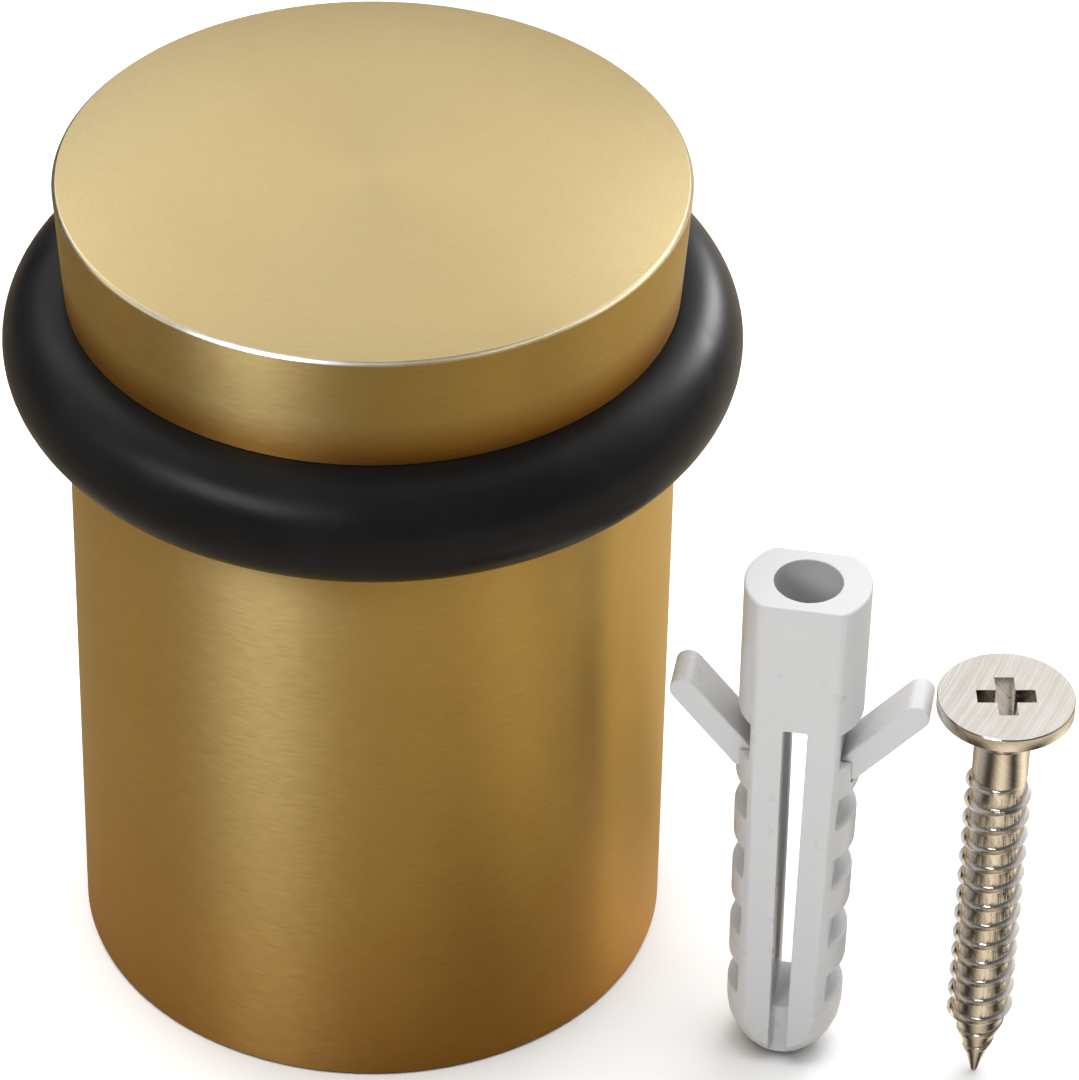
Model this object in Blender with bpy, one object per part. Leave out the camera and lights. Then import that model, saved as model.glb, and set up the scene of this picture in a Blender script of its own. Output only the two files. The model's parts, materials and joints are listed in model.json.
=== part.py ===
"""Floor door stop: a turned brass body with a rubber ring, screwed onto a hidden threaded base.
Its wall plug and its countersunk screw stand beside it, on the same floor.

Metres, +Z up. The origin is the centre of the base's underside, where the fixing screw goes
through it into the floor. -Y is the front.
"""

import math

import bmesh
import bpy
from mathutils import Matrix, Vector

MM = 0.001
GAP = 0.25 * MM                     # left between pieces that touch on the real object
EASE = 0.1 * MM                     # small chamfer on the edges of the plug and the screw
BEYOND = 1 * MM                     # how far a cutter reaches past what it cuts

# Body shell
BODY_RADIUS = 15.0 * MM
BODY_HEIGHT = 45.0 * MM
CAP_TOP_RADIUS = 15.4 * MM          # the cap flares from the groove to its top edge
TOP_CHAMFER = 0.25 * MM
FOOT_CHAMFER = 0.2 * MM
BORE_RADIUS = 9.6 * MM              # blind bore above the thread
BORE_TOP = 39.0 * MM
BORE_CONE_TOP = 41.5 * MM           # where the drill's point ended

# Rubber ring and its groove
RING_TUBE_RADIUS = 3.0 * MM
RING_CENTRE_RADIUS = 15.1 * MM
RING_HEIGHT = 35.8 * MM
GROOVE_RADIUS = RING_TUBE_RADIUS + GAP

# Thread between the base and the body: right-handed, 60 degrees, 22 x 1.5
THREAD_PITCH = 1.5 * MM
THREAD_MAJOR = 11.0 * MM
THREAD_DEPTH = 0.9 * MM
THREAD_CREST = 0.095 * MM           # half the crest's width
THREAD_CLEARANCE = 0.2 * MM         # radial, between the base's crest and the body's root
FLANK_CLEARANCE = 0.14 * MM         # along the axis, on each flank
FLANK_SLOPE = math.tan(math.radians(30))
RIDGE_SINK = 0.05 * MM              # a fading ridge ends this far below the surface it stands on
RIDGE_FOOT = 0.3 * MM               # how deep a ridge reaches into what it is joined to or cut from
THREAD_RELIEF = 0.2 * MM            # the relief grooves are this much deeper than the thread

# Mounting base
BASE_HEIGHT = 6.5 * MM
BASE_HOLE_RADIUS = 2.1 * MM
BASE_CUP_RADIUS = 7.0 * MM          # room for the screwdriver above the screw's head
BASE_CUP_DEPTH = 3.0 * MM
COUNTERSINK_RADIUS = 3.8 * MM
BASE_CHAMFER = 0.4 * MM
LEAD_IN = 1.2 * MM                  # height of the cone that leads the body onto the base
SPARE_THREAD = 0.6 * MM             # the body's thread goes on this far above the base

# Wall plug, 6 x 30: local X points to its toothed sides, local Y to its flats
PLUG_PLACE = Vector((20.9, -12.0, 0.0)) * MM
PLUG_TURN = math.radians(-11)
PLUG_LENGTH = 29.6 * MM
PLUG_RADIUS = 3.1 * MM
PLUG_TIP_RADIUS = 2.9 * MM          # the toothed length narrows towards the tip
PLUG_FLAT = 2.35 * MM               # half the distance between the two flats
PLUG_FLAT_EDGE = 2.25 * MM          # where a flat rolls over into the round side
PLUG_FLAT_EASE = 0.35 * MM
PLUG_COLLAR = 7.6 * MM
PLUG_CORE = 2.2 * MM                # half width between the teeth
TOOTH_PITCH = 3.88 * MM
TOOTH_GAP = 1.95 * MM
TEETH = 4                           # on each side, above the tip
FIRST_TOOTH_TOP = 19.7 * MM
PLUG_BORE_TOP = 1.7 * MM
PLUG_BORE_END = 1.0 * MM
PLUG_BORE_DEPTH = 25.0 * MM
SLOT_TOP_WIDTH = 1.2 * MM
SLOT_END_WIDTH = 0.9 * MM
SLOT_END = 3.5 * MM                 # height above the tip where the web closes the slot
GROOVE_DEPTH = 0.6 * MM             # the slot goes on to the tip as a groove in each flat

# Wings: local X out of the plug's side, hinged at their lower ends
WING_LENGTH = 4.8 * MM              # between the centres of its two round ends
WING_THICKNESS = 1.35 * MM
WING_DEPTH = 2.4 * MM
WING_ANGLE = math.radians(40)       # from the plug's axis, as moulded
WING_HINGE = (2.6 * MM, 19.2 * MM)  # out from the plug's axis, and height
WING_CLEARANCE = 0.15 * MM          # around its lower end, in the pocket of the first tooth

# Wood screw, 3.5 x 25
SCREW_PLACE = Vector((30.5, -14.5, 0.0)) * MM
SCREW_LENGTH = 24.5 * MM
HEAD_RADIUS = 3.35 * MM
HEAD_RIM = 0.75 * MM
HEAD_CONE = 1.85 * MM
SHANK_RADIUS = 1.38 * MM            # the plain shank, and the core between the threads
SHANK_LENGTH = 2.4 * MM
SCREW_CREST = 1.75 * MM
SCREW_CREST_HALF = 0.05 * MM        # half the crest's width
SCREW_FOOT_HALF = 0.3 * MM
SCREW_PITCH = 1.25 * MM
SCREW_TAPER = 4.3 * MM              # length of the point
SCREW_POINT_RADIUS = 0.12 * MM
THREAD_START = 1.2 * MM             # above the point's end
RECESS_WIDTH = 0.95 * MM
RECESS_SPAN = 3.7 * MM
RECESS_DEPTH = 1.9 * MM
RECESS_TAPER = 0.35                 # its span at the bottom, as a share of the span at the top

ROUND = 60                          # sides of a large turned piece
SMALL_ROUND = 24
WING_END_STEPS = 8                  # steps in the half circle at each end of a wing
GROOVE_STEPS = 8
RING_STEPS = 16
THREAD_SIDES = 30
SCREW_SIDES = 16


def clear_scene():
    for old in list(bpy.data.objects):
        bpy.data.objects.remove(old, do_unlink=True)


def make_material(name, colour, metallic, roughness):
    material = bpy.data.materials.new(name)
    material.use_nodes = True
    shader = material.node_tree.nodes["Principled BSDF"]
    shader.inputs["Base Color"].default_value = (*colour, 1.0)
    shader.inputs["Metallic"].default_value = metallic
    shader.inputs["Roughness"].default_value = roughness
    return material


def add_object(name, shape, material=None):
    """Turns a bmesh into an object with its faces pointing out."""
    bmesh.ops.recalc_face_normals(shape, faces=shape.faces)
    mesh = bpy.data.meshes.new(name)
    shape.to_mesh(mesh)
    shape.free()
    item = bpy.data.objects.new(name, mesh)
    bpy.context.scene.collection.objects.link(item)
    if material:
        mesh.materials.append(material)
        mesh.shade_smooth()
        mesh.set_sharp_from_angle(angle=math.radians(35))
    return item


def combine(target, tool, operation):
    """Cuts the tool from the target, or joins it on, and hides the tool."""
    modifier = target.modifiers.new(tool.name, "BOOLEAN")
    modifier.operation = operation
    modifier.object = tool
    tool.hide_render = True
    tool.display_type = "WIRE"
    tool.parent = target


def turned(profile, sides):
    """A solid of revolution about Z. The profile is a list of (radius, height).
    It either closes on itself, or starts and ends on the axis."""
    shape = bmesh.new()
    rings = []
    for radius, height in profile:
        if radius == 0:
            rings.append([shape.verts.new((0, 0, height))] * sides)
            continue
        angles = (2 * math.pi * i / sides for i in range(sides))
        rings.append(
            [shape.verts.new((radius * math.cos(a), radius * math.sin(a), height)) for a in angles]
        )
    ends_on_axis = profile[0][0] == 0 and profile[-1][0] == 0
    pairs = zip(rings, rings[1:] if ends_on_axis else rings[1:] + rings[:1])
    for lower, upper in pairs:
        for i in range(sides):
            j = (i + 1) % sides
            corners = [lower[i], lower[j], upper[j], upper[i]]
            shape.faces.new(dict.fromkeys(corners))
    return shape


def arc(centre_radius, centre_height, radius, start, end, steps):
    """Points on a circle in the (radius, height) plane, angles in degrees."""
    points = []
    for i in range(steps + 1):
        angle = math.radians(start + (end - start) * i / steps)
        points.append(
            (centre_radius + radius * math.cos(angle), centre_height + radius * math.sin(angle))
        )
    return points


def helix(section, pitch, start, turns, sides, fade):
    """A closed ridge along a right-handed helix about Z, starting at one height.
    section(share) gives its outline as (radius, height) points, for a share of its full size.
    fade says over how many turns it grows at the lower end, and shrinks at the upper end."""
    shape = bmesh.new()
    steps = round(turns * sides)
    rings = []
    for i in range(steps + 1):
        turn = i / sides
        share = min(1.0, turn / fade[0], (steps / sides - turn) / fade[1]) if fade else 1.0
        angle = 2 * math.pi * turn
        rings.append(
            [
                shape.verts.new((r * math.cos(angle), r * math.sin(angle), start + pitch * turn + z))
                for r, z in section(share)
            ]
        )
    count = len(rings[0])
    for one, two in zip(rings, rings[1:]):
        for i in range(count):
            j = (i + 1) % count
            shape.faces.new((one[i], one[j], two[j], two[i]))
    shape.faces.new(rings[0])
    shape.faces.new(rings[-1])
    return shape


def block(low, high, scale_low=1.0):
    """A box between two corners. scale_low scales its X at the lower end."""
    shape = bmesh.new()
    bmesh.ops.create_cube(shape, size=1.0)
    for vert in shape.verts:
        share = vert.co + Vector((0.5, 0.5, 0.5))
        vert.co = Vector(low[i] + (high[i] - low[i]) * share[i] for i in range(3))
        if share.z < 0.5:
            vert.co.x *= scale_low
    return shape


# ---- Mounting base -------------------------------------------------------------------------


def base_ridge(share):
    root = THREAD_MAJOR - THREAD_DEPTH
    crest = root - RIDGE_SINK + (THREAD_DEPTH + RIDGE_SINK) * share
    foot = THREAD_CREST + THREAD_DEPTH * FLANK_SLOPE
    inner = root - RIDGE_FOOT
    return [(inner, -foot), (root, -foot), (crest, -THREAD_CREST), (crest, THREAD_CREST),
            (root, foot), (inner, foot)]


def build_base(material):
    root = THREAD_MAJOR - THREAD_DEPTH
    cup_floor = BASE_HEIGHT - BASE_CUP_DEPTH
    sink_depth = COUNTERSINK_RADIUS - BASE_HOLE_RADIUS
    base = add_object("mounting_base", turned([
        (BASE_HOLE_RADIUS, 0),
        (root - BASE_CHAMFER, 0),
        (root, BASE_CHAMFER),
        (root, BASE_HEIGHT - BASE_CHAMFER),
        (root - BASE_CHAMFER, BASE_HEIGHT),
        (BASE_CUP_RADIUS, BASE_HEIGHT),
        (BASE_CUP_RADIUS, cup_floor),
        (COUNTERSINK_RADIUS, cup_floor),
        (BASE_HOLE_RADIUS, cup_floor - sink_depth),
    ], THREAD_SIDES), material)
    start = THREAD_PITCH / 2
    turns = (BASE_HEIGHT - THREAD_PITCH) / THREAD_PITCH
    ridge = helix(base_ridge, THREAD_PITCH, start, turns, THREAD_SIDES, (0.25, 0.25))
    combine(base, add_object("base_thread", ridge), "UNION")
    return base


# ---- Body shell ----------------------------------------------------------------------------


def body_groove(share):
    """The base's ridge with its clearance, cut into the body's bore."""
    outer = THREAD_MAJOR + THREAD_CLEARANCE
    crest = THREAD_CREST + FLANK_CLEARANCE - THREAD_CLEARANCE * FLANK_SLOPE
    inner = body_minor() - RIDGE_FOOT
    minor_half = THREAD_CREST + FLANK_CLEARANCE + (THREAD_MAJOR - body_minor()) * FLANK_SLOPE
    top = body_minor() - RIDGE_SINK + (outer - body_minor() + RIDGE_SINK) * share
    return [(inner, -minor_half), (body_minor(), -minor_half), (top, -crest), (top, crest),
            (body_minor(), minor_half), (inner, minor_half)]


def body_minor():
    """The radius of the body's thread crests, inside its bore."""
    return THREAD_MAJOR - THREAD_DEPTH + GAP


def build_body(material):
    relief_radius = THREAD_MAJOR + THREAD_CLEARANCE + THREAD_RELIEF
    thread_top = BASE_HEIGHT + SPARE_THREAD
    relief_top = thread_top + THREAD_PITCH
    # The groove's arc meets the body below the ring and the flaring cap above it.
    low_angle = 180 + math.degrees(math.acos((RING_CENTRE_RADIUS - BODY_RADIUS) / GROOVE_RADIUS))
    high_angle = 360 - low_angle
    body = add_object("body_shell", turned([
        (0, BODY_HEIGHT),
        (CAP_TOP_RADIUS - TOP_CHAMFER, BODY_HEIGHT),
        (CAP_TOP_RADIUS, BODY_HEIGHT - TOP_CHAMFER),
        *arc(RING_CENTRE_RADIUS, RING_HEIGHT, GROOVE_RADIUS, high_angle, low_angle, GROOVE_STEPS),
        (BODY_RADIUS, FOOT_CHAMFER),
        (BODY_RADIUS - FOOT_CHAMFER, 0),
        (relief_radius + THREAD_RELIEF, 0),
        (body_minor(), LEAD_IN),
        (body_minor(), thread_top),
        (relief_radius, thread_top),
        (relief_radius, relief_top),
        (BORE_RADIUS, relief_top),
        (BORE_RADIUS, BORE_TOP),
        (0, BORE_CONE_TOP),
    ], ROUND), material)
    # The groove starts a whole turn below the base's ridge, so both follow one helix.
    start = THREAD_PITCH / 2 - 2 * THREAD_PITCH
    turns = (thread_top + 0.4 * THREAD_PITCH - start) / THREAD_PITCH
    groove = helix(body_groove, THREAD_PITCH, start, turns, THREAD_SIDES, None)
    combine(body, add_object("body_thread", groove), "DIFFERENCE")
    return body


# ---- Rubber ring ---------------------------------------------------------------------------


def build_ring(material):
    around = arc(RING_CENTRE_RADIUS, RING_HEIGHT, RING_TUBE_RADIUS, 0, 360, RING_STEPS)[:-1]
    return add_object("rubber_ring", turned(around, ROUND), material)


# ---- Wall plug -----------------------------------------------------------------------------


def plug_blank():
    """The plug's round outline before its flats, teeth and slot are cut."""
    tip = [(0, 0.25 * MM), (0.9 * MM, 0.0), (1.7 * MM, 0.45 * MM), (2.45 * MM, 1.3 * MM)]
    return turned([
        *tip,
        (PLUG_TIP_RADIUS, 2.8 * MM),
        (PLUG_RADIUS, FIRST_TOOTH_TOP),
        (PLUG_RADIUS, PLUG_LENGTH - EASE),
        (PLUG_RADIUS - EASE, PLUG_LENGTH),
        (0, PLUG_LENGTH),
    ], SMALL_ROUND)


def plug_flats():
    """A prism with eased edges that the blank is trimmed to."""
    wide = PLUG_RADIUS + BEYOND
    edge, ease = PLUG_FLAT_EDGE, PLUG_FLAT_EASE
    half = [(edge - ease, -PLUG_FLAT), (edge, -PLUG_FLAT + ease / 2), (wide, -PLUG_FLAT + 4 * ease)]
    outline = [(-x, y) for x, y in reversed(half)] + half
    outline += [(-x, -y) for x, y in outline]
    shape = bmesh.new()
    face = shape.faces.new([shape.verts.new((x, y, -BEYOND)) for x, y in outline])
    top = bmesh.ops.extrude_face_region(shape, geom=[face])["geom"]
    moved = [item for item in top if isinstance(item, bmesh.types.BMVert)]
    bmesh.ops.translate(shape, verts=moved, vec=(0, 0, PLUG_LENGTH + 2 * BEYOND))
    return shape


def plug_notches():
    """The gaps between the teeth, on both sides: the long one below the collar comes first."""
    collar_end = PLUG_LENGTH - PLUG_COLLAR
    heights = [(FIRST_TOOTH_TOP, collar_end)]
    for i in range(TEETH):
        top = FIRST_TOOTH_TOP - (TOOTH_PITCH - TOOTH_GAP) - TOOTH_PITCH * i
        heights.append((top - TOOTH_GAP, top))
    return heights


def cut_teeth(plug):
    far = PLUG_RADIUS + BEYOND
    for index, (low, high) in enumerate(plug_notches()):
        for side in (-1, 1):
            ends = sorted((side * PLUG_CORE, side * far))
            notch = block((ends[0], -far, low), (ends[1], far, high))
            combine(plug, add_object(f"plug_notch_{index}_{side}", notch), "DIFFERENCE")


def cut_slot(plug):
    """The slot between the two legs, and the groove that carries it on to the tip."""
    far = PLUG_RADIUS + BEYOND
    half = SLOT_TOP_WIDTH / 2
    top = PLUG_LENGTH - PLUG_COLLAR
    slot = block((-half, -far, SLOT_END), (half, far, top), SLOT_END_WIDTH / SLOT_TOP_WIDTH)
    combine(plug, add_object("plug_slot", slot), "DIFFERENCE")
    half = SLOT_END_WIDTH / 2
    for side in (-1, 1):
        ends = sorted((side * (PLUG_FLAT - GROOVE_DEPTH), side * far))
        groove = block((-half, ends[0], -BEYOND), (half, ends[1], SLOT_END + GROOVE_DEPTH))
        combine(plug, add_object(f"plug_groove_{side}", groove), "DIFFERENCE")


def build_plug(material):
    plug = add_object("wall_plug", plug_blank(), material)
    combine(plug, add_object("plug_flats", plug_flats()), "INTERSECT")
    cut_teeth(plug)
    cut_slot(plug)
    bore = turned([
        (0, PLUG_LENGTH + BEYOND),
        (PLUG_BORE_TOP, PLUG_LENGTH + BEYOND),
        (PLUG_BORE_END, PLUG_LENGTH - PLUG_BORE_DEPTH),
        (0, PLUG_LENGTH - PLUG_BORE_DEPTH - PLUG_BORE_END / 2),
    ], SMALL_ROUND // 2)
    combine(plug, add_object("plug_bore", bore), "DIFFERENCE")
    seat_radius = WING_THICKNESS / 2 + WING_CLEARANCE
    seat_depth = WING_DEPTH / 2 + WING_CLEARANCE
    for side in (-1, 1):
        seat = turned([(0, -seat_depth), (seat_radius, -seat_depth), (seat_radius, seat_depth),
                       (0, seat_depth)], SMALL_ROUND)
        bmesh.ops.rotate(seat, verts=seat.verts, matrix=Matrix.Rotation(math.pi / 2, 3, "X"))
        bmesh.ops.translate(seat, verts=seat.verts, vec=(side * WING_HINGE[0], 0, WING_HINGE[1]))
        combine(plug, add_object(f"plug_wing_seat_{side}", seat), "DIFFERENCE")
    return plug


def build_wing(name, side, material):
    """A strip with round ends, its origin on its hinge, leaning out from the plug's axis."""
    radius = WING_THICKNESS / 2
    outline = []
    for centre, start in ((WING_LENGTH, 0), (0, 180)):
        for i in range(WING_END_STEPS + 1):
            angle = math.radians(start + 180 * i / WING_END_STEPS)
            outline.append((radius * math.cos(angle), centre + radius * math.sin(angle)))
    shape = bmesh.new()
    face = shape.faces.new([shape.verts.new((x, -WING_DEPTH / 2, z)) for x, z in outline])
    back = bmesh.ops.extrude_face_region(shape, geom=[face])["geom"]
    moved = [item for item in back if isinstance(item, bmesh.types.BMVert)]
    bmesh.ops.translate(shape, verts=moved, vec=(0, WING_DEPTH, 0))
    bmesh.ops.rotate(shape, verts=shape.verts, matrix=Matrix.Rotation(side * WING_ANGLE, 3, "Y"))
    wing = add_object(name, shape, material)
    wing.location = (side * WING_HINGE[0], 0, WING_HINGE[1])
    return wing


# ---- Wood screw ----------------------------------------------------------------------------


def screw_ridge(share):
    """It follows the cone of the point, and grows out of it towards the full thread."""
    core = SHANK_RADIUS * (0.3 + 0.7 * share)
    crest = core + (SCREW_CREST - SHANK_RADIUS) * share ** 2
    foot = core - RIDGE_FOOT / 2
    return [(foot, -SCREW_FOOT_HALF), (crest, -SCREW_CREST_HALF), (crest, SCREW_CREST_HALF),
            (foot, SCREW_FOOT_HALF)]


def build_screw(material):
    neck = SCREW_LENGTH - HEAD_RIM - HEAD_CONE
    thread_top = neck - SHANK_LENGTH
    screw = add_object("wood_screw", turned([
        (0, 0),
        (SCREW_POINT_RADIUS, SCREW_POINT_RADIUS),
        (SHANK_RADIUS, SCREW_TAPER),
        (SHANK_RADIUS, neck),
        (HEAD_RADIUS, neck + HEAD_CONE),
        (HEAD_RADIUS, SCREW_LENGTH - EASE),
        (HEAD_RADIUS - EASE, SCREW_LENGTH),
        (0, SCREW_LENGTH),
    ], SMALL_ROUND), material)
    turns = (thread_top - THREAD_START) / SCREW_PITCH
    tip_turns = (SCREW_TAPER - THREAD_START) / SCREW_PITCH
    ridge = helix(screw_ridge, SCREW_PITCH, THREAD_START, turns, SCREW_SIDES, (tip_turns, 0.5))
    combine(screw, add_object("screw_thread", ridge), "UNION")
    for index in range(2):
        half_width, half_span = RECESS_WIDTH / 2, RECESS_SPAN / 2
        slot = block((-half_span, -half_width, SCREW_LENGTH - RECESS_DEPTH),
                     (half_span, half_width, SCREW_LENGTH + BEYOND), RECESS_TAPER)
        bmesh.ops.rotate(slot, verts=slot.verts, matrix=Matrix.Rotation(index * math.pi / 2, 3, "Z"))
        combine(screw, add_object(f"screw_recess_{index}", slot), "DIFFERENCE")
    return screw


def build_all():
    clear_scene()
    brass = make_material("satin_brass", (0.55, 0.38, 0.14), 1.0, 0.34)
    rubber = make_material("black_rubber", (0.012, 0.012, 0.013), 0.0, 0.55)
    zinc = make_material("zinc_plate", (0.62, 0.62, 0.6), 1.0, 0.4)
    plastic = make_material("grey_plastic", (0.66, 0.66, 0.66), 0.0, 0.4)
    nickel = make_material("nickel_plate", (0.66, 0.6, 0.52), 1.0, 0.25)

    build_base(zinc)
    build_body(brass)
    build_ring(rubber)

    plug = build_plug(plastic)
    for name, side in (("plug_wing_left", -1), ("plug_wing_right", 1)):
        build_wing(name, side, plastic).parent = plug
    plug.location = PLUG_PLACE
    plug.rotation_euler.z = PLUG_TURN

    screw = build_screw(nickel)
    screw.location = SCREW_PLACE


build_all()
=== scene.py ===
"""Looks of the floor door stop: brushed brass body, black rubber ring, hidden threaded base,
grey plastic wall plug and nickel-plated countersunk screw. Metres, +Z up, -Y is the front."""

import json
import math

import bmesh
import bpy
from mathutils import Matrix, Vector


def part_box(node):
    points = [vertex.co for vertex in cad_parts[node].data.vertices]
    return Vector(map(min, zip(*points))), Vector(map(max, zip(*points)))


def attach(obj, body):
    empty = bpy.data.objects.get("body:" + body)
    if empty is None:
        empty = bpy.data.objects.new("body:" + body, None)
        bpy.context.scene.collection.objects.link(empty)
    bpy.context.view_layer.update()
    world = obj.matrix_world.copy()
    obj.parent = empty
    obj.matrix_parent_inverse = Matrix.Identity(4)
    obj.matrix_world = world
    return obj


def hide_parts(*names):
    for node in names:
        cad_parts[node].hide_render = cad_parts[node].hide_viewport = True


MM = 0.001
BODY_SIDES = 240           # facets round the body and the ring
BASE_SIDES = 160
THREAD_SIDES = 80          # steps in one turn of the fixing thread
KIT_SIDES = 96             # facets round the plug and the screw
BORE_SIDES = 48            # facets round the plug's bore and the wings' pockets
RIDGE_SIDES = 64           # steps in one turn of the screw's ridge


# ---- Mesh helpers --------------------------------------------------------------------------


def add_object(name, shape):
    """Turns a bmesh into an object with its faces pointing out."""
    bmesh.ops.recalc_face_normals(shape, faces=shape.faces)
    mesh = bpy.data.meshes.new(name)
    shape.to_mesh(mesh)
    shape.free()
    item = bpy.data.objects.new(name, mesh)
    bpy.context.scene.collection.objects.link(item)
    return item


def finish_mesh(item):
    """Replaces the object's mesh by what its modifiers make of it, and drops them."""
    graph = bpy.context.evaluated_depsgraph_get()
    mesh = bpy.data.meshes.new_from_object(item.evaluated_get(graph))
    item.modifiers.clear()
    item.data = mesh
    return item


def combine(target, tools, operation):
    """Joins the tools to the target, or cuts them from it, and removes them."""
    for tool in tools:
        modifier = target.modifiers.new(tool.name, "BOOLEAN")
        modifier.operation = operation
        modifier.object = tool
    finish_mesh(target)
    for tool in tools:
        bpy.data.objects.remove(tool, do_unlink=True)


def smooth(item, angle):
    """Smooth shading, with a sharp edge where faces meet at more than this many degrees."""
    item.data.shade_smooth()
    item.data.set_sharp_from_angle(angle=math.radians(angle))


def turned(profile, sides):
    """A solid of revolution about Z. The profile is a list of (radius, height).
    It either closes on itself, or starts and ends on the axis."""
    shape = bmesh.new()
    angles = [2 * math.pi * i / sides for i in range(sides)]
    rings = []
    for radius, height in profile:
        if radius == 0:
            rings.append([shape.verts.new((0, 0, height))] * sides)
        else:
            rings.append(
                [shape.verts.new((radius * math.cos(a), radius * math.sin(a), height)) for a in angles]
            )
    ends_on_axis = profile[0][0] == 0 and profile[-1][0] == 0
    following = rings[1:] if ends_on_axis else rings[1:] + rings[:1]
    for lower, upper in zip(rings, following):
        for i in range(sides):
            j = (i + 1) % sides
            shape.faces.new(dict.fromkeys((lower[i], lower[j], upper[j], upper[i])))
    return shape


def arc(centre_radius, centre_height, radius, start, end, steps):
    """Points on a circle in the (radius, height) plane, angles in degrees."""
    points = []
    for i in range(steps + 1):
        angle = math.radians(start + (end - start) * i / steps)
        points.append(
            (centre_radius + radius * math.cos(angle), centre_height + radius * math.sin(angle))
        )
    return points


def helix(section, pitch, start, turns, sides):
    """A closed ridge along a right-handed helix about Z, from one height up.
    section(turn, turns) gives its outline as (radius, height) points."""
    shape = bmesh.new()
    steps = round(turns * sides)
    rings = []
    for i in range(steps + 1):
        turn = i / sides
        angle = 2 * math.pi * turn
        rings.append(
            [
                shape.verts.new((r * math.cos(angle), r * math.sin(angle), start + pitch * turn + z))
                for r, z in section(turn, steps / sides)
            ]
        )
    count = len(rings[0])
    for one, two in zip(rings, rings[1:]):
        for i in range(count):
            j = (i + 1) % count
            shape.faces.new((one[i], one[j], two[j], two[i]))
    shape.faces.new(rings[0])
    shape.faces.new(rings[-1])
    return shape


def block(low, high, scale_low=1.0):
    """A box between two corners. scale_low scales its X at the lower end."""
    shape = bmesh.new()
    bmesh.ops.create_cube(shape, size=1.0)
    for vert in shape.verts:
        share = vert.co + Vector((0.5, 0.5, 0.5))
        vert.co = Vector(low[i] + (high[i] - low[i]) * share[i] for i in range(3))
        if share.z < 0.5:
            vert.co.x *= scale_low
    return shape


def prism(outline, low, high, along="Z"):
    """An outline in the XY plane extruded along Z, or one in the XZ plane along Y."""
    shape = bmesh.new()
    if along == "Z":
        corners = [shape.verts.new((x, y, low)) for x, y in outline]
        move = (0, 0, high - low)
    else:
        corners = [shape.verts.new((x, low, z)) for x, z in outline]
        move = (0, high - low, 0)
    face = shape.faces.new(corners)
    made = bmesh.ops.extrude_face_region(shape, geom=[face])["geom"]
    moved = [item for item in made if isinstance(item, bmesh.types.BMVert)]
    bmesh.ops.translate(shape, verts=moved, vec=move)
    return shape


# ---- Material helpers ----------------------------------------------------------------------


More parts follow.
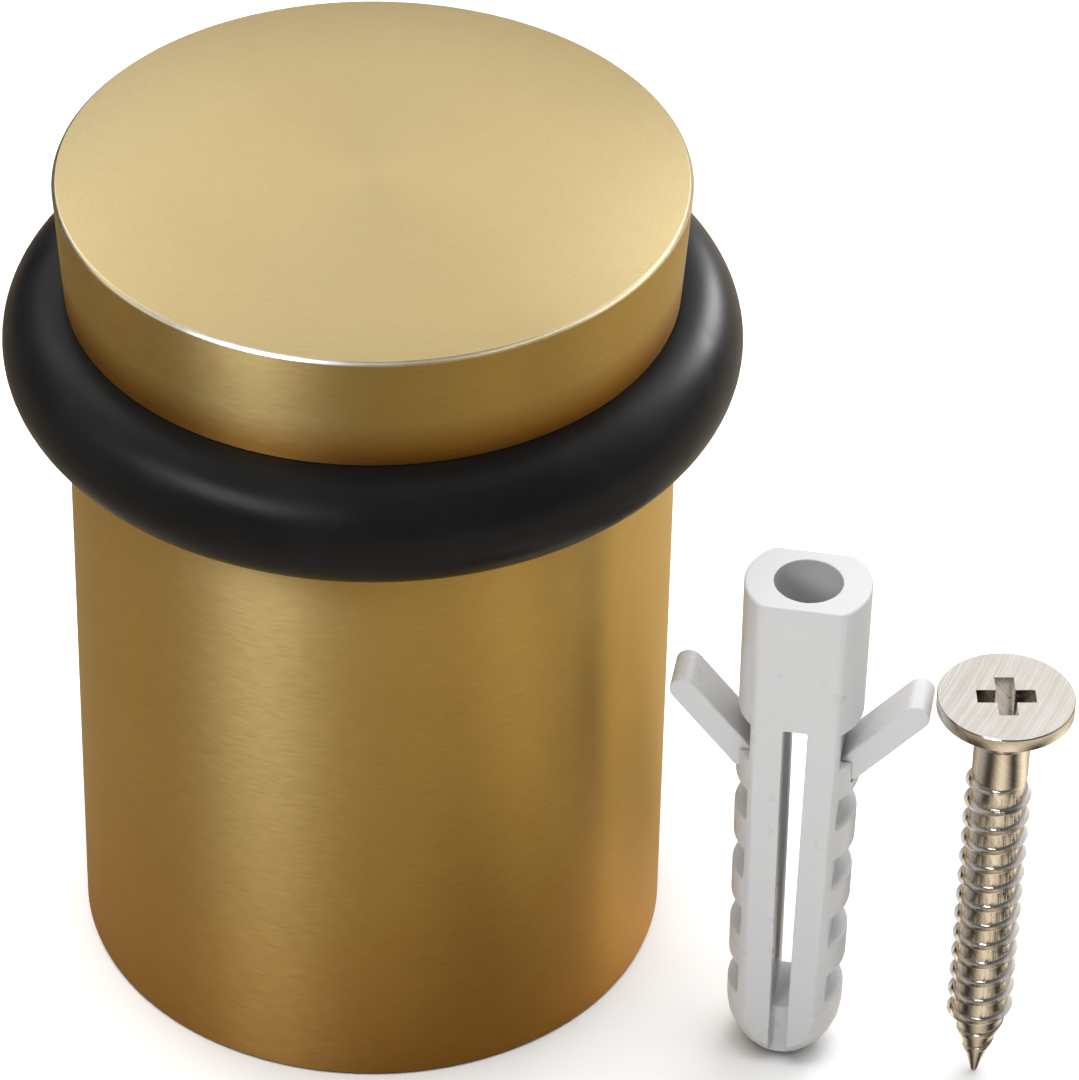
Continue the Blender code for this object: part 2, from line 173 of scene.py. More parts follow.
class Nodes:
    """A short way to write a material's node tree."""

    def __init__(self, name):
        self.material = bpy.data.materials.new(name)
        self.material.use_nodes = True
        self.tree = self.material.node_tree
        self.shader = self.tree.nodes["Principled BSDF"]

    def add(self, kind, settings=None, **inputs):
        node = self.tree.nodes.new(kind)
        for key, value in (settings or {}).items():
            setattr(node, key, value)
        for key, value in inputs.items():
            self.put(node.inputs[key.replace("_", " ")], value)
        return node

    def put(self, socket, value):
        if isinstance(value, bpy.types.NodeSocket):
            self.tree.links.new(value, socket)
        else:
            socket.default_value = value

    def math(self, operation, *values):
        """One Math node."""
        node = self.tree.nodes.new("ShaderNodeMath")
        node.operation = operation
        for socket, value in zip(node.inputs, values):
            self.put(socket, value)
        return node.outputs[0]

    def weighted(self, *pairs):
        """The sum of two (value, weight) pairs."""
        return self.math("ADD", *[self.math("MULTIPLY", value, weight) for value, weight in pairs])

    def length(self, x, y):
        squares = self.math("ADD", self.math("MULTIPLY", x, x), self.math("MULTIPLY", y, y))
        return self.math("SQRT", squares)

    def noise(self, vector, scale, detail=3.0, roughness=0.5, distortion=0.0):
        node = self.add("ShaderNodeTexNoise", Scale=scale, Detail=detail, Roughness=roughness,
                        Distortion=distortion)
        self.put(node.inputs["Vector"], vector)
        return node.outputs["Fac"]

    def ramp(self, value, stops):
        """A colour ramp through (position, colour) stops."""
        node = self.tree.nodes.new("ShaderNodeValToRGB")
        elements = node.color_ramp.elements
        while len(elements) < len(stops):
            elements.new(0.5)
        for element, (position, colour) in zip(elements, stops):
            element.position = position
            element.color = (*colour, 1.0)
        self.put(node.inputs["Fac"], value)
        return node.outputs["Color"]

    def range(self, value, low, high, to_low, to_high):
        """The value's place between low and high, put between to_low and to_high."""
        node = self.add("ShaderNodeMapRange", {"clamp": True})
        for index, number in enumerate((value, low, high, to_low, to_high)):
            self.put(node.inputs[index], number)
        return node.outputs[0]

    def multiply_colours(self, one, two):
        node = self.add("ShaderNodeMix", {"data_type": "RGBA", "blend_type": "MULTIPLY"})
        self.put(node.inputs[0], 1.0)
        self.put(node.inputs[6], one)
        self.put(node.inputs[7], two)
        return node.outputs[2]

    def bump(self, height, strength, distance):
        node = self.add("ShaderNodeBump", Strength=strength, Distance=distance)
        self.put(node.inputs["Height"], height)
        return node.outputs["Normal"]

    def set(self, **inputs):
        """Sets or links the shader's own sockets."""
        for key, value in inputs.items():
            self.put(self.shader.inputs[key.replace("_", " ")], value)

    def position(self):
        return self.tree.nodes.new("ShaderNodeTexCoord").outputs["Object"]

    def place(self):
        """The position as separate X, Y and Z."""
        parts = self.add("ShaderNodeSeparateXYZ")
        self.put(parts.inputs[0], self.position())
        return parts.outputs

    def lathe_lines(self, around, across):
        """Coordinates for marks that run round the Z axis: short steps around it, long steps
        up the side and out across the ends. They have no seam."""
        x, y, z = self.place()
        radius = self.length(x, y)
        safe = self.math("MAXIMUM", radius, 0.1 * MM)
        joined = self.add("ShaderNodeCombineXYZ")
        self.put(joined.inputs[0], self.math("MULTIPLY", self.math("DIVIDE", x, safe), around))
        self.put(joined.inputs[1], self.math("MULTIPLY", self.math("DIVIDE", y, safe), around))
        self.put(joined.inputs[2], self.math("MULTIPLY", self.math("ADD", radius, z), across))
        return joined.outputs[0]

    def around_axis(self):
        """The direction round the Z axis, for brushed metal's stretched highlights."""
        node = self.add("ShaderNodeTangent", {"direction_type": "RADIAL", "axis": "Z"})
        return node.outputs[0]


def brushed_brass(name, colours, tint, roughness, anisotropy, coat, depth):
    """Satin brass, brushed on a lathe: fine lines round the axis, under a thin clear lacquer.
    tint(nodes) gives painted light and shade that the brass colour is multiplied by."""
    n = Nodes(name)
    fine = n.noise(n.lathe_lines(20.0, 14000.0), 1.0, detail=2.0, roughness=0.6)
    streaks = n.noise(n.lathe_lines(16.0, 6400.0), 1.0, detail=3.0, roughness=0.6)
    clouds = n.noise(n.position(), 300.0, detail=3.0)
    grain = n.noise(n.position(), 7000.0, detail=2.0)
    lines = n.weighted((fine, 0.45), (streaks, 0.55))
    tone = n.weighted((lines, 0.85), (clouds, 0.15))
    height = n.weighted((lines, 1.0), (grain, 0.2))
    dark, middle, light = colours
    colour = n.ramp(tone, [(0.34, dark), (0.5, middle), (0.66, light)])
    smoothest, roughest = roughness
    n.set(Base_Color=n.multiply_colours(colour, tint(n)), Metallic=1.0)
    n.set(Roughness=n.range(lines, 0.3, 0.7, smoothest, roughest))
    n.set(Anisotropic=anisotropy, Anisotropic_Rotation=0.25, Tangent=n.around_axis())
    n.set(Normal=n.bump(height, depth, 0.02 * MM))
    n.set(Coat_Weight=coat, Coat_Roughness=0.3, Coat_IOR=1.5)
    return n.material


def side_painted_shade(n):
    """Painted shade that the brass is multiplied by: darker and redder towards the foot, for the shade
    and warm floor reflection near the floor, darker on the cap for its dimmer light, and a painted
    deep brown band just above the ring for the ring's reflection and the shade in the crease."""
    height = n.range(n.place()[2], 0.0, BODY_HEIGHT, 0.0, 1.0)
    # Painted shade: darker and redder towards the foot, darker on the cap, and deep brown just above
    # the ring, where its reflection and the crease's shade fall.
    painted_crease_shade = (0.50, 0.33, 0.17)
    above_ring = ring_high.z / BODY_HEIGHT
    return n.ramp(height, [
        (0.0, (0.80, 0.60, 0.38)),
        (0.3, (0.82, 0.76, 0.64)),
        (0.6, (0.89, 0.86, 0.80)),
        (0.76, (0.9, 0.9, 0.9)),
        (above_ring, painted_crease_shade),
        (above_ring + 0.012, painted_crease_shade),
        (above_ring + 0.055, (0.66, 0.635, 0.57)),
    ])


def top_painted_lobes(n):
    """Painted highlight: two soft bright lobes across the top, for the studio light that the brushed
    metal catches there.
    """
    turn_x, turn_y = 0.97, 0.26        # the direction of the lobes
    x, y = n.place()[:2]
    across = n.weighted((x, turn_x), (y, -turn_y))
    along = n.weighted((x, turn_y), (y, turn_x))
    lobes = n.math("SUBTRACT", n.math("MULTIPLY", across, across), n.math("MULTIPLY", along, along))
    edge = CAP_RADIUS ** 2
    share = n.range(lobes, -edge, edge, 0.0, 1.0)
    # Painted highlight: brighter and bluer along the lobes, darker between them.
    return n.ramp(share, [
        (0.0, (0.84, 0.82, 0.79)),
        (0.5, (0.88, 0.87, 0.85)),
        (1.0, (1.0, 1.02, 1.08)),
    ])


def black_rubber():
    """Moulded rubber, satin, with faint smudges and a very fine skin."""
    n = Nodes("black_rubber")
    where = n.position()
    smudges = n.noise(where, 190.0, detail=5.0, roughness=0.62, distortion=0.6)
    specks = n.noise(where, 2600.0, detail=2.0)
    skin = n.noise(where, 6000.0, detail=3.0)
    colour = n.ramp(smudges, [
        (0.35, (0.0065, 0.0065, 0.0067)),
        (0.62, (0.0085, 0.0085, 0.0087)),
        (0.8, (0.014, 0.014, 0.0142)),
    ])
    roughness = n.range(smudges, 0.35, 0.75, 0.28, 0.44)
    n.set(Base_Color=colour, Roughness=roughness, Specular_IOR_Level=0.13)
    n.set(Normal=n.bump(n.weighted((skin, 1.0), (specks, 0.5)), 0.12, 0.03 * MM))
    return n.material


def grey_plastic():
    """Light grey moulded polyethylene, slightly waxy."""
    n = Nodes("grey_plastic")
    where = n.position()
    clouds = n.noise(where, 420.0, detail=3.0)
    skin = n.noise(where, 5200.0, detail=3.0)
    colour = n.ramp(clouds, [(0.3, (0.551, 0.551, 0.553)), (0.7, (0.558, 0.558, 0.560))])
    n.set(Base_Color=colour, Roughness=n.range(clouds, 0.3, 0.7, 0.27, 0.30))
    n.set(Normal=n.bump(skin, 0.04, 0.03 * MM))
    return n.material


def plated_steel(name, dark, light, roughness, depth):
    """Plated steel with turning marks round the axis."""
    n = Nodes(name)
    marks = n.noise(n.lathe_lines(3.0, 9000.0), 1.0, detail=4.0, roughness=0.7)
    clouds = n.noise(n.position(), 900.0, detail=4.0)
    tone = n.weighted((marks, 0.8), (clouds, 0.2))
    smoothest, roughest = roughness
    n.set(Base_Color=n.ramp(tone, [(0.35, dark), (0.65, light)]), Metallic=1.0)
    n.set(Roughness=n.range(tone, 0.35, 0.65, smoothest, roughest))
    n.set(Normal=n.bump(n.weighted((marks, 1.0), (clouds, 0.1)), depth, 0.04 * MM))
    return n.material


# ---- Body ----------------------------------------------------------------------------------

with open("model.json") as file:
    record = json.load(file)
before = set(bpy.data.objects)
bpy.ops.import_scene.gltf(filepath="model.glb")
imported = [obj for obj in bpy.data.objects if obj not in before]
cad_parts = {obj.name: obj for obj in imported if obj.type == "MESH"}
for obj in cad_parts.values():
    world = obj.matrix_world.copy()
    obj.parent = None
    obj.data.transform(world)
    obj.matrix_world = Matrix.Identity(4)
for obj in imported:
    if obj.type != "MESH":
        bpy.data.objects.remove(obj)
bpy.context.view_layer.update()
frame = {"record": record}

body_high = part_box("body_shell")[1]
ring_low, ring_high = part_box("rubber_ring")
base_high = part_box("mounting_base")[1]
plug_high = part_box("wall_plug")[1]
screw_low, screw_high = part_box("wood_screw")
joints = {joint["name"]: joint for joint in frame["record"]["behaviour"]["joints"]}

CAP_RADIUS = body_high.x
BODY_HEIGHT = body_high.z
BODY_RADIUS = CAP_RADIUS - 0.4 * MM        # the cap flares by this much
RING_TUBE = (ring_high.z - ring_low.z) / 2
RING_CENTRE = ring_high.x - RING_TUBE
RING_HEIGHT = (ring_high.z + ring_low.z) / 2
GROOVE = RING_TUBE + 0.04 * MM

# The fixing thread: the base's outside, and the body's inside with its clearance.
PITCH = 1.5 * MM
THREAD_MAJOR = 11.0 * MM
THREAD_MINOR = 10.1 * MM
BODY_THREAD_MAJOR = 11.2 * MM
BODY_THREAD_MINOR = 10.35 * MM
FLANK = math.tan(math.radians(30))


def body_thread(turn, turns):
    """The outline of the tool that cuts the body's inner thread. It is the same all along."""
    crest = 0.12 * MM
    inner = BODY_THREAD_MINOR - 0.3 * MM
    half = crest + (BODY_THREAD_MAJOR - BODY_THREAD_MINOR) * FLANK
    lower = [(inner, -half), (BODY_THREAD_MINOR, -half), (BODY_THREAD_MAJOR, -crest)]
    return lower + [(radius, -height) for radius, height in reversed(lower)]


def build_body():
    """One hollow turned shell. Its outline runs from the middle of the top, down the outside, and
    up the inside to the middle of the bore's end."""
    groove_steps = 24
    chamfer = 0.16 * MM
    ease = 0.04 * MM           # how softly the chamfer meets its neighbours
    ease_depth = 0.4 * ease
    low_angle = 180 + math.degrees(math.acos((RING_CENTRE - BODY_RADIUS) / GROOVE))
    high_angle = 360 - low_angle
    thread_top = base_high.z + 0.6 * MM
    relief = 11.4 * MM         # the thread's run-out
    bore, bore_end, bore_tip = 9.6 * MM, 39 * MM, 41.5 * MM
    profile = [
        (0, BODY_HEIGHT),
        (4 * MM, BODY_HEIGHT),
        (9 * MM, BODY_HEIGHT),
        (CAP_RADIUS - chamfer - ease, BODY_HEIGHT),
        (CAP_RADIUS - chamfer, BODY_HEIGHT - ease_depth),
        (CAP_RADIUS - ease_depth, BODY_HEIGHT - chamfer),
        (CAP_RADIUS, BODY_HEIGHT - chamfer - ease),
        *arc(RING_CENTRE, RING_HEIGHT, GROOVE, high_angle, low_angle, groove_steps),
        (BODY_RADIUS, 20 * MM),
        (BODY_RADIUS, 0.25 * MM),
        (BODY_RADIUS - 0.06 * MM, 0.08 * MM),
        (BODY_RADIUS - 0.22 * MM, 0),
        (relief + 0.2 * MM, 0),
        (BODY_THREAD_MINOR, 1.2 * MM),
        (BODY_THREAD_MINOR, thread_top),
        (relief, thread_top),
        (relief, thread_top + PITCH),
        (bore, thread_top + PITCH),
        (bore, bore_end),
        (0, bore_tip),
    ]
    body = add_object("brass_body", turned(profile, BODY_SIDES))
    start = -1.5 * PITCH
    turns = (thread_top + 0.4 * PITCH - start) / PITCH
    thread = add_object("thread_tool", helix(body_thread, PITCH, start, turns, THREAD_SIDES))
    combine(body, [thread], "DIFFERENCE")
    smooth(body, 28)
    return body


def build_ring():
    """The ring bulges freely outside the groove and fills it inside."""
    steps = 72
    section = arc(RING_CENTRE, RING_HEIGHT, RING_TUBE, 0, 360, steps)[:steps]
    ring = add_object("bumper_ring", turned(section, BODY_SIDES))
    smooth(ring, 60)
    return ring


def base_thread(turn, turns):
    """The base's ridge, which rises and sinks within a quarter turn at its two ends."""
    share = min(1.0, turn / 0.25, (turns - turn) / 0.25)
    root = THREAD_MINOR
    sunk = 0.05 * MM           # how far it starts under the surface
    crest = root - sunk + (THREAD_MAJOR - root + sunk) * share
    top = 0.095 * MM
    foot = top + (THREAD_MAJOR - root) * FLANK
    inner = root - 0.35 * MM
    return [(inner, -foot), (root, -foot), (crest, -top), (crest, top), (root, foot), (inner, foot)]


def build_base():
    """A threaded disc with a cup, and a countersunk hole for the fixing screw."""
    height = base_high.z
    chamfer, cup_edge, cup_corner = 0.4 * MM, 0.15 * MM, 0.2 * MM
    cup, cup_floor = 7.0 * MM, height - 3.0 * MM
    sink, hole = 3.8 * MM, 2.1 * MM
    base = add_object("threaded_base", turned([
        (hole, 0),
        (THREAD_MINOR - chamfer, 0),
        (THREAD_MINOR, chamfer),
        (THREAD_MINOR, height - chamfer),
        (THREAD_MINOR - chamfer, height),
        (cup + cup_edge, height),
        (cup, height - cup_edge),
        (cup, cup_floor + cup_corner),
        (cup - cup_corner, cup_floor),
        (sink, cup_floor),
        (hole, cup_floor - (sink - hole)),
    ], BASE_SIDES))
    turns = (height - PITCH) / PITCH
    thread = add_object("thread_tool", helix(base_thread, PITCH, PITCH / 2, turns, THREAD_SIDES))
    combine(base, [thread], "UNION")
    smooth(base, 28)
    return base


# ---- Wall plug -----------------------------------------------------------------------------

# The plug is built in millimetres, and then put where its joints are.
PLUG_LENGTH = plug_high.z / MM
WING_HINGE = (2.6, 19.2)
WING_ANGLE = math.radians(40)
WING_LENGTH = 4.8
WING_THICKNESS = 1.35
WING_DEPTH = 2.4
POCKET_ROOM = 0.16         # around the wing's lower end, so that it clears the core when it folds
POCKET_SIDE_ROOM = 0.06    # along its hinge
SOFT_VOXEL = 0.055         # the remeshing step that rounds the moulding's edges


def build_plug():
    """A round moulding with two flats, cut by the teeth, the slot between the legs, a groove in each
    flat's foot, the screw's bore and the pockets of the wings."""
    radius, flat, core = 3.1, 2.35, 2.2
    collar_low, collar_high = 19.7, PLUG_LENGTH - 7.6
    tooth_pitch, tooth_gap, teeth = 3.88, 1.95, 4
    slot, slot_low, slot_narrowing = 0.6, 3.5, 0.75
    groove, groove_depth, groove_top = 0.45, 0.6, 4.0
    bore_mouth, bore_foot = 1.7, 1.0       # radii
    bore_low, bore_end = 4.6, 4.0          # heights
    far = 5.0                  # well outside the plug
    nose = [(0, 0.25), (0.9, 0.0), (1.35, 0.15), (1.8, 0.5), (2.2, 0.98), (2.55, 1.6), (2.8, 2.3),
            (2.9, 3.0)]
    plug = add_object("plug_body", turned(nose + [
        (radius - 0.05, collar_low),
        (radius, PLUG_LENGTH - 0.08),
        (radius - 0.08, PLUG_LENGTH),
        (0, PLUG_LENGTH),
    ], KIT_SIDES))

    edge, ease, wide = 2.25, 0.35, 4.1
    outline = [(-wide, -flat + 4 * ease), (-edge, -flat + ease / 2), (-edge + ease, -flat),
               (edge - ease, -flat), (edge, -flat + ease / 2), (wide, -flat + 4 * ease)]
    outline += [(-x, -y) for x, y in outline]
    combine(plug, [add_object("flats", prism(outline, -1, PLUG_LENGTH + 1))], "INTERSECT")

    notches = [(collar_low, collar_high)]
    for i in range(teeth):
        top = collar_low - (tooth_pitch - tooth_gap) - tooth_pitch * i
        notches.append((top - tooth_gap, top))
    tools = []
    for low, high in notches:
        for side in (-1, 1):
            ends = sorted((side * core, side * far))
            tools.append(add_object("notch", block((ends[0], -far, low), (ends[1], far, high))))
    between_legs = block((-slot, -far, slot_low), (slot, far, collar_high), slot_narrowing)
    tools.append(add_object("slot", between_legs))
    for side in (-1, 1):
        ends = sorted((side * (flat - groove_depth), side * far))
        corners = (-groove, ends[0], -far), (groove, ends[1], groove_top)
        tools.append(add_object("groove", block(*corners)))
    above = PLUG_LENGTH + 1
    drill_outline = [(0, above), (bore_mouth, above), (bore_foot, bore_low), (0, bore_end)]
    drill = turned(drill_outline, BORE_SIDES)
    tools.append(add_object("bore", drill))
    seat, depth = WING_THICKNESS / 2 + POCKET_ROOM, WING_DEPTH / 2 + POCKET_SIDE_ROOM
    for side in (-1, 1):
        pocket = turned([(0, -depth), (seat, -depth), (seat, depth), (0, depth)], BORE_SIDES)
        bmesh.ops.rotate(pocket, verts=pocket.verts, matrix=Matrix.Rotation(math.pi / 2, 3, "X"))
        bmesh.ops.translate(pocket, verts=pocket.verts, vec=(side * WING_HINGE[0], 0, WING_HINGE[1]))
        tools.append(add_object("pocket", pocket))
    combine(plug, tools, "DIFFERENCE")
    soften(plug, SOFT_VOXEL)
    place_on_plug(plug)
    return plug


def soften(item, voxel):
    """Rounds every edge a little, as moulded plastic has them."""
    remesh = item.modifiers.new("remesh", "REMESH")
    remesh.mode = "VOXEL"
    remesh.voxel_size = voxel
    relax = item.modifiers.new("relax", "SMOOTH")
    relax.factor = 0.5
    relax.iterations = 1
    finish_mesh(item)


def upright_to_place(across, along, origin):
    """The matrix from millimetres, X across and Z along a piece's axis, to its place."""
    side = along.cross(across)
    turn = Matrix((across, side, along)).transposed().to_4x4()
    return Matrix.Translation(origin) @ turn @ Matrix.Scale(MM, 4)


def place_on_plug(item):
    """Puts the plug or a wing where the wings' two joints say that the plug is."""
    left = Vector(joints["wing_left_fold"]["pos_m"])
    right = Vector(joints["wing_right_fold"]["pos_m"])
    along = Vector(joints["plug_lift"]["axis"]).normalized()
    origin = (left + right) / 2 - along * WING_HINGE[1] * MM
    item.data.transform(upright_to_place((right - left).normalized(), along, origin))
    item.data.shade_smooth()


def build_wing(name, side):
    """A flat strip with round ends, which leans outwards from its hinge."""
    steps = 12                 # round each end
    radius = WING_THICKNESS / 2
    outline = []
    for centre, start in ((WING_LENGTH, 0), (0, 180)):
        for i in range(steps + 1):
            angle = math.radians(start + 180 * i / steps)
            outline.append((radius * math.cos(angle), centre + radius * math.sin(angle)))
    shape = prism(outline, -WING_DEPTH / 2, WING_DEPTH / 2, along="Y")
    bmesh.ops.rotate(shape, verts=shape.verts, matrix=Matrix.Rotation(side * WING_ANGLE, 3, "Y"))
    bmesh.ops.translate(shape, verts=shape.verts, vec=(side * WING_HINGE[0], 0, WING_HINGE[1]))
    wing = add_object(name, shape)
    soften(wing, SOFT_VOXEL)
    place_on_plug(wing)
    return wing


# ---- Wood screw ----------------------------------------------------------------------------

# The screw too is built in millimetres, with its tip on the floor.
SCREW_LENGTH = screw_high.z / MM
SCREW_CORE = 1.33
SCREW_CREST = 1.73
SCREW_PITCH = 1.25
SCREW_TAPER = 4.2          # the point's height
SCREW_FOOT = 0.34          # half the ridge's width at its foot
SCREW_FLARE = 3.8          # how quickly its flanks steepen towards the crest
RIDGE_START = 1.1
RIDGE_START_CORE = 0.42    # the point's radius where the ridge starts


def screw_thread(turn, turns):
    """A thin sharp ridge whose flanks curve into the core. On the point it is only a trace."""
    point_share = min(1.0, turn / 2.4)
    end_share = min(1.0, (turns - turn) / 0.4)
    core = RIDGE_START_CORE + (SCREW_CORE - RIDGE_START_CORE) * point_share
    trace = 0.1
    rise = max(0.0, min(1.0, (turn - 1.9) / 0.6))
    tall = (trace + (SCREW_CREST - SCREW_CORE - trace) * rise) * end_share
    sunk, root = 0.01, 0.2     # how far the flanks and the foot lie inside the core
    upper = []
    for share in (0.06, 0.2, 0.4, 0.62, 0.85):
        radius = core - sunk + (tall + sunk) * (1 - share) ** SCREW_FLARE
        upper.append((radius, share * SCREW_FOOT))
    upper.append((core - root, SCREW_FOOT))
    return [(radius, -height) for radius, height in reversed(upper)] + upper


def build_screw():
    """A turned blank with a countersunk head, a ridge wound on it, and a cross recess."""
    rim, cone, shank, head = 0.72, 1.75, 1.37, 3.34
    neck = SCREW_LENGTH - rim - cone
    head_low = neck + cone
    thread_top = neck - 2.4
    screw = add_object("plated_screw", turned([
        (0, 0),
        (0.13, 0.02),
        (0.17, 0.12),
        (RIDGE_START_CORE, RIDGE_START),
        (SCREW_CORE - 0.06, SCREW_TAPER - 0.15),
        (SCREW_CORE, SCREW_TAPER + 0.25),
        (SCREW_CORE, thread_top),
        (shank, thread_top + 0.15),
        (shank, neck - 0.1),
        (shank + 0.05, neck),
        (head - 0.03, head_low - 0.03),
        (head, head_low + 0.03),
        (head, SCREW_LENGTH - 0.06),
        (head - 0.05, SCREW_LENGTH),
        (0, SCREW_LENGTH),
    ], KIT_SIDES))
    turns = (thread_top + 0.1 - RIDGE_START) / SCREW_PITCH
    ridge = add_object("ridge", helix(screw_thread, SCREW_PITCH, RIDGE_START, turns, RIDGE_SIDES))
    combine(screw, [ridge], "UNION")

    half_long, half_wide, depth, narrowing = 1.85, 0.475, 1.9, 0.35
    tools = []
    for quarter in range(2):
        low = (-half_long, -half_wide, SCREW_LENGTH - depth)
        high = (half_long, half_wide, SCREW_LENGTH + 1)
        slot = block(low, high, narrowing)
        turn = Matrix.Rotation(quarter * math.pi / 2, 3, "Z")
        bmesh.ops.rotate(slot, verts=slot.verts, matrix=turn)
        tools.append(add_object("recess", slot))
    combine(screw, tools, "DIFFERENCE")

    middle = (screw_low + screw_high) / 2
    tip = Vector((middle.x, middle.y, screw_low.z))
    along = Vector(joints["screw_lift"]["axis"]).normalized()
    screw.data.transform(upright_to_place(Vector((1, 0, 0)), along, tip))
    smooth(screw, 32)
    return screw


# ---- The pieces ----------------------------------------------------------------------------


def put_on(piece, material, body, node):
    """Gives a piece its look and the body that it moves with, and hides the CAD node that it stands
    for.
    """
    piece.data.materials.clear()
    piece.data.materials.append(material)
    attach(piece, body)
    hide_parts(node)


# The side's brass carries painted shade towards the foot, on the cap and just above the ring.
brass_side = brushed_brass(
    "brushed_brass_side", ((0.69, 0.46, 0.135), (0.74, 0.505, 0.152), (0.79, 0.545, 0.17)),
    side_painted_shade, roughness=(0.44, 0.49), anisotropy=0.85, coat=0.08, depth=0.32)
# Painted light: the top's brass is a paler, less yellow copy of the side's, for the whiter look of the
# brightly lit top.
brass_top = brushed_brass(
    "brushed_brass_top_lit_copy", ((0.69, 0.53, 0.25), (0.72, 0.56, 0.27), (0.75, 0.59, 0.29)),
    top_painted_lobes, roughness=(0.40, 0.46), anisotropy=0.3, coat=0.2, depth=0.12)
# Painted highlight: the chamfer's brass is brighter and paler than the top's, for the thin bright line
# along the rim; it also carries the top's painted lobes.
brass_rim = brushed_brass(
    "brass_rim_painted_highlight", ((0.84, 0.70, 0.42), (0.88, 0.75, 0.48), (0.92, 0.80, 0.54)),
    top_painted_lobes, roughness=(0.30, 0.36), anisotropy=0.3, coat=0.1, depth=0.1)
rubber = black_rubber()
plastic = grey_plastic()
nickel = plated_steel(
    "nickel_plate", (0.60, 0.56, 0.51), (0.78, 0.74, 0.69), roughness=(0.09, 0.16), depth=0.24)
zinc = plated_steel(
    "zinc_plate", (0.50, 0.50, 0.49), (0.68, 0.68, 0.66), roughness=(0.28, 0.42), depth=0.25)

body = build_body()
put_on(body, brass_side, "body", "body_shell")
body.data.materials.append(brass_top)
body.data.materials.append(brass_rim)
TOP_INDEX, RIM_INDEX = 1, 2
# The flat top takes the paler lit copy of the brass, and the chamfer takes the painted highlight.
for face in body.data.polygons:
    if face.center.z > BODY_HEIGHT - MM and face.normal.z > 0.1:
        face.material_index = TOP_INDEX if face.normal.z > 0.95 else RIM_INDEX
ring = build_ring()
put_on(ring, rubber, "bumper", "rubber_ring")
put_on(build_base(), zinc, "floor_base", "mounting_base")
plug = build_plug()
put_on(plug, plastic, "plug", "wall_plug")
left_wing = build_wing("wing_strip_left", -1)
put_on(left_wing, plastic, "wing_left", "plug_wing_left")
right_wing = build_wing("wing_strip_right", 1)
put_on(right_wing, plastic, "wing_right", "plug_wing_right")
screw = build_screw()
put_on(screw, nickel, "screw", "wood_screw")


# ---- Floor, light and camera ---------------------------------------------------------------


def add_plane(name, height, reach, colours, pattern=None):
    """A wide plane that reaches this far each way. Its colours follow each other from left to
    right across the object, and pattern(nodes) gives a factor for them."""
    shape = bmesh.new()
    bmesh.ops.create_grid(shape, x_segments=1, y_segments=1, size=reach)
    plane = add_object(name, shape)
    plane.location.z = height
    n = Nodes(name)
    half_width = 60 * MM       # the colours change within this distance
    share = n.range(n.place()[0], -half_width, half_width, 0.0, 1.0)
    last = len(colours) - 1
    colour = n.ramp(share, [(index / last, colour) for index, colour in enumerate(colours)])
    if pattern:
        colour = n.multiply_colours(colour, pattern(n))
    n.set(Base_Color=colour, Roughness=0.9, Specular_IOR_Level=0.1)
    plane.data.materials.append(n.material)
    return plane


def only_in_reflections(item):
    """Hides an object from everything but glossy surfaces."""
    item.visible_camera = False
    item.visible_diffuse = False
    item.visible_shadow = False
    item.visible_transmission = False


def sectors(n, centre, count, depth, reach):
    """A factor that swings round 1 from sector to sector about a point, and fades with distance.
    The sector towards the front is a bright one."""
    place = n.place()
    x = n.math("SUBTRACT", place[0], centre.x)
    y = n.math("SUBTRACT", place[1], centre.y)
    wave = n.math("SINE", n.math("MULTIPLY", n.math("ARCTAN2", y, x), float(count)))
    share = n.range(n.length(x, y), reach, 1.5 * reach, depth, 0.0)
    return n.math("ADD", n.math("MULTIPLY", wave, share), 1.0)


def build_floor():
    """A white floor, and a greyer one in the same place that only reflections see, so that the
    metal keeps its contrast. Its sectors about the screw show as upright bands on the shank."""
    white = (0.93, 0.93, 0.93)
    floor = add_plane("floor", height=0.0, reach=0.5, colours=(white, white))
    floor.visible_glossy = False
    greys = ((0.215, 0.165, 0.11), (0.39, 0.335, 0.255), (0.53, 0.46, 0.355))
    screw_axis = (screw_low + screw_high) / 2
    mirrored = add_plane(
        "floor_in_reflections", height=0.02 * MM, reach=4.0, colours=greys,
        pattern=lambda n: sectors(n, screw_axis, count=3, depth=0.92, reach=19 * MM))
    only_in_reflections(mirrored)
    return floor


def build_flag(azimuth, distance, width, height):
    """A black card behind the object's left side, which keeps the bright studio off its edge."""
    shape = bmesh.new()
    bmesh.ops.create_grid(shape, x_segments=1, y_segments=1, size=0.5)
    bmesh.ops.scale(shape, verts=shape.verts, vec=(width, height, 1))
    bmesh.ops.rotate(shape, verts=shape.verts, matrix=Matrix.Rotation(math.pi / 2, 3, "X"))
    flag = add_object("black_flag", shape)
    turn = math.radians(azimuth)
    flag.location = (math.sin(turn) * distance, -math.cos(turn) * distance, height / 2)
    flag.rotation_euler.z = turn
    n = Nodes("black_flag")
    n.set(Base_Color=(0.01, 0.01, 0.01, 1), Roughness=1.0)
    flag.data.materials.append(n.material)
    only_in_reflections(flag)


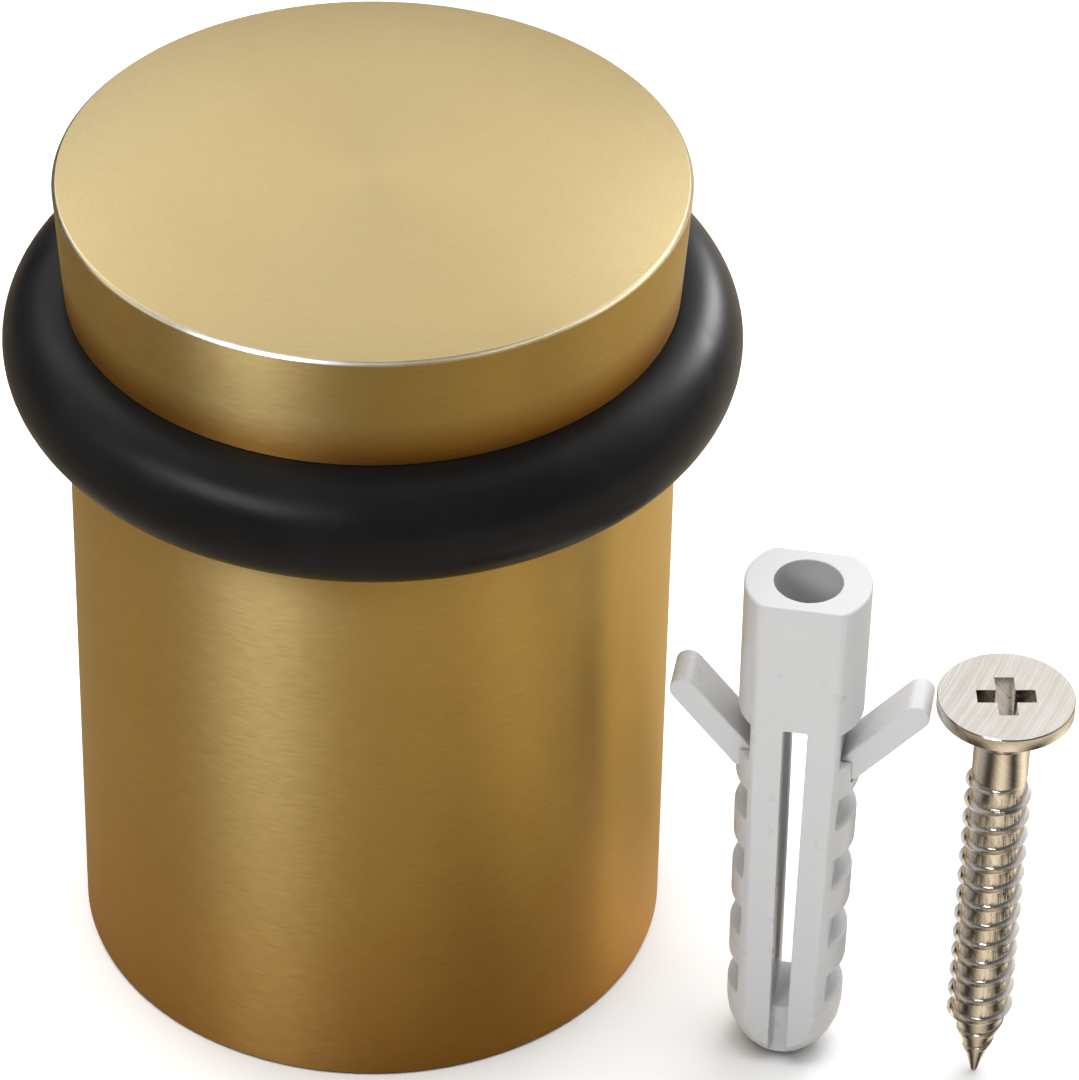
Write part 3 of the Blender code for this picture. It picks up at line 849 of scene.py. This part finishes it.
def build_world():
    """A studio: bright behind and above the object, dim in front. The camera sees plain white."""
    world = bpy.data.worlds.new("studio")
    bpy.context.scene.world = world
    world.use_nodes = True
    tree = world.node_tree
    dimmest, added = 0.14, 0.93        # the studio's level in front, and what comes on top behind
    direction = tree.nodes.new("ShaderNodeTexCoord")
    parts = tree.nodes.new("ShaderNodeSeparateXYZ")
    tree.links.new(direction.outputs["Generated"], parts.inputs[0])

    def ramp(value, low, high):
        """0 below low, 1 above high, and smooth between them."""
        node = tree.nodes.new("ShaderNodeMapRange")
        node.interpolation_type = "SMOOTHSTEP"
        tree.links.new(value, node.inputs[0])
        node.inputs[1].default_value = low
        node.inputs[2].default_value = high
        return node.outputs[0]

    up = ramp(parts.outputs[2], -0.1, 0.5)
    back = ramp(parts.outputs[1], -0.5, 0.7)
    level = tree.nodes.new("ShaderNodeMath")
    level.operation = "MULTIPLY"
    tree.links.new(up, level.inputs[0])
    tree.links.new(back, level.inputs[1])
    scaled = tree.nodes.new("ShaderNodeMath")
    scaled.operation = "MULTIPLY_ADD"
    tree.links.new(level.outputs[0], scaled.inputs[0])
    scaled.inputs[1].default_value = added
    scaled.inputs[2].default_value = dimmest
    studio = tree.nodes.new("ShaderNodeBackground")
    studio.inputs[0].default_value = (1, 1, 1, 1)
    tree.links.new(scaled.outputs[0], studio.inputs[1])
    white = tree.nodes["Background"]
    white.inputs[0].default_value = (1, 1, 1, 1)
    rays = tree.nodes.new("ShaderNodeLightPath")
    choice = tree.nodes.new("ShaderNodeMixShader")
    tree.links.new(rays.outputs["Is Camera Ray"], choice.inputs[0])
    tree.links.new(studio.outputs[0], choice.inputs[1])
    tree.links.new(white.outputs[0], choice.inputs[2])
    tree.links.new(choice.outputs[0], tree.nodes["World Output"].inputs[0])


def direction_to(azimuth, elevation):
    """A unit vector, from angles in degrees. Azimuth 0 is the front, and 90 is the right."""
    turn, rise = math.radians(azimuth), math.radians(elevation)
    return Vector((math.sin(turn) * math.cos(rise), -math.cos(turn) * math.cos(rise), math.sin(rise)))


def aim_at_middle(item, away, distance):
    """Puts a light or the camera at a distance from the object's middle, looking at it."""
    item.location = Vector((0, 0, BODY_HEIGHT / 2)) + away * distance
    item.rotation_euler = (-away).to_track_quat("-Z", "Y").to_euler()


def add_softbox(name, azimuth, elevation, distance, size, power, colour=(1, 1, 1), only_on=()):
    """A rectangular light aimed at the object. Where only_on lists pieces, the light is kept off
    everything else, as a studio does with black card."""
    light = bpy.data.lights.new(name, "AREA")
    light.shape = "RECTANGLE"
    light.size, light.size_y = size
    light.energy = power
    light.color = colour
    item = bpy.data.objects.new(name, light)
    bpy.context.scene.collection.objects.link(item)
    aim_at_middle(item, direction_to(azimuth, elevation), distance)
    if only_on:
        group = bpy.data.collections.new(name + "_target")
        for piece in only_on:
            group.objects.link(piece)
        item.light_linking.receiver_collection = group
    return item


def build_lights():
    overhead = add_softbox("overhead", 180, 80, 1.2, (1.4, 1.2), 20.0)
    overhead.visible_glossy = False
    add_softbox("strip_left", -41, 41, 0.2, (0.075, 0.1), 0.46, (0.47, 0.58, 1.0), [body])
    add_softbox("back_right", 145, 34, 0.6, (0.2, 0.3), 0.18)
    add_softbox("back_left", -140, 38, 0.6, (0.2, 0.3), 0.2)
    add_softbox("floor_wash", 0, 75, 1.0, (1.0, 1.0), 5.0, only_on=[floor])
    near = 0.4
    edge_size = (0.34, 0.06)
    # Name, azimuth, elevation, size, power, and the pieces that it falls on. The rim's chamfer
    # mirrors the four edge lights one after the other, as one thin bright line.
    for name, azimuth, elevation, size, power, pieces in (
        ("plug_front", -28, 30, (0.08, 0.12), 0.5, [plug, left_wing, right_wing]),
        ("screw_front", -20, 35, (0.05, 0.2), 0.35, [screw]),
        ("edge_left", -100, 27, edge_size, 0.07, [body]),
        ("edge_front", 0, 52, edge_size, 0.07, [body]),
        ("edge_right", 62, 43, edge_size, 0.13, [body]),
        ("edge_side", 100, 27, edge_size, 0.13, [body]),
        ("ring_right", 138, 22, (0.12, 0.12), 1.1, [ring]),
        ("ring_front", -48, 40, (0.3, 0.12), 0.8, [ring]),
    ):
        add_softbox(name, azimuth, elevation, near, size, power, only_on=pieces)


def build_camera():
    """The photo's camera: its angle, distance and framing were fitted to the stop's outline."""
    distance, elevation = 288.5 * MM, 38.06
    camera = bpy.data.objects.new("camera", bpy.data.cameras.new("camera"))
    bpy.context.scene.collection.objects.link(camera)
    camera.data.lens = 191.1
    camera.data.sensor_width = 36.0
    camera.data.shift_x = 0.1545
    camera.data.shift_y = 0.003
    camera.data.clip_start = 10 * MM
    aim_at_middle(camera, direction_to(0, elevation), distance)
    bpy.context.scene.camera = camera


floor = build_floor()
build_flag(azimuth=-132, distance=0.22, width=0.26, height=0.14)
build_world()
build_lights()
build_camera()
bpy.context.scene.view_settings.view_transform = "Standard"
